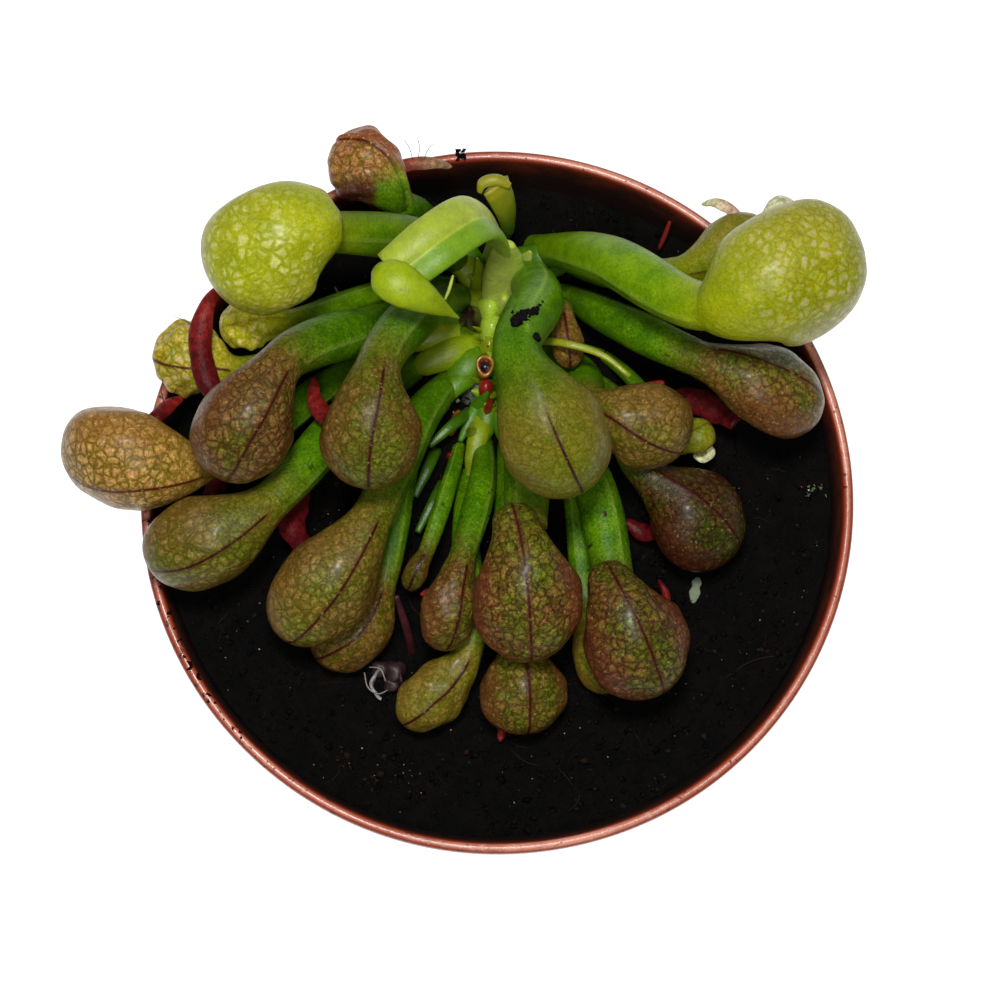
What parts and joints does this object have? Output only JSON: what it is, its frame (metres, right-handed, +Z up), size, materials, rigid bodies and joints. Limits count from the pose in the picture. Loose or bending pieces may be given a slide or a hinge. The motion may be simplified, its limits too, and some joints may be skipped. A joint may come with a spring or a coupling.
{
  "type": "potted pitcher plant",
  "caption": "Young hooded pitcher plant: a low rosette of arching tubular pitchers with domed hoods on a short crown, in a round terracotta-coloured plastic pot of dark potting mix.",
  "frame": {"origin": "middle of the pot's flat base, on the surface it stands on", "axes": "+Z up along the pot's axis, +Y to the back, +X to the right"},
  "size_m": [0.1321, 0.12, 0.1498],
  "materials": {
    "pot_plastic": "smooth terracotta-coloured plastic with a light sheen, worn and dusty at the rim",
    "potting_mix": "moist dark peat with fine grit and fibres, fully matt",
    "crown_tissue": "knobby pale green crown and brown roots, satin",
    "mature_leaf": "olive to bronze leaf with a fine red-brown net, waxy sheen",
    "young_leaf": "yellow-green leaf with pale windows, waxy sheen",
    "slim_leaf": "bright green slender leaf, satin",
    "dried_leaf": "dried purple-brown to papery leaf, dull"
  },
  "bodies": {
    "root": {"pot": "pot_plastic", "soil": "potting_mix", "crown_and_roots": "crown_tissue", "pitcher_left_high": "young_leaf", "pitcher_left_under": "mature_leaf", "pitcher_left_rim": "mature_leaf", "pitcher_left_far": "mature_leaf", "pitcher_left_mid": "mature_leaf", "pitcher_left_low": "mature_leaf", "pitcher_front_left": "mature_leaf", "pitcher_centre_left": "mature_leaf", "pitcher_centre": "young_leaf", "pitcher_right_inner": "mature_leaf", "pitcher_right_rim": "mature_leaf", "pitcher_right_low": "mature_leaf", "pitcher_right_high": "young_leaf", "pitcher_right_under": "mature_leaf", "pitcher_back_left": "mature_leaf", "pitcher_front_mid": "mature_leaf", "pitcher_front_right": "mature_leaf", "pitcher_front_small": "mature_leaf", "pitcher_front_low_left": "mature_leaf", "pitcher_front_low": "mature_leaf", "pitcher_front_hidden": "mature_leaf", "pitcher_front_slim": "mature_leaf", "pitcher_right_tiny": "mature_leaf", "pitcher_centre_slim": "mature_leaf", "pitcher_juvenile": "slim_leaf", "new_leaf_folded": "young_leaf", "young_tube": "young_leaf", "strand_right": "slim_leaf", "first_leaf_1": "slim_leaf", "first_leaf_2": "slim_leaf", "first_leaf_3": "slim_leaf", "first_leaf_4": "slim_leaf", "dried_spike": "dried_leaf", "dried_curl": "dried_leaf"}
  },
  "joints": []
}
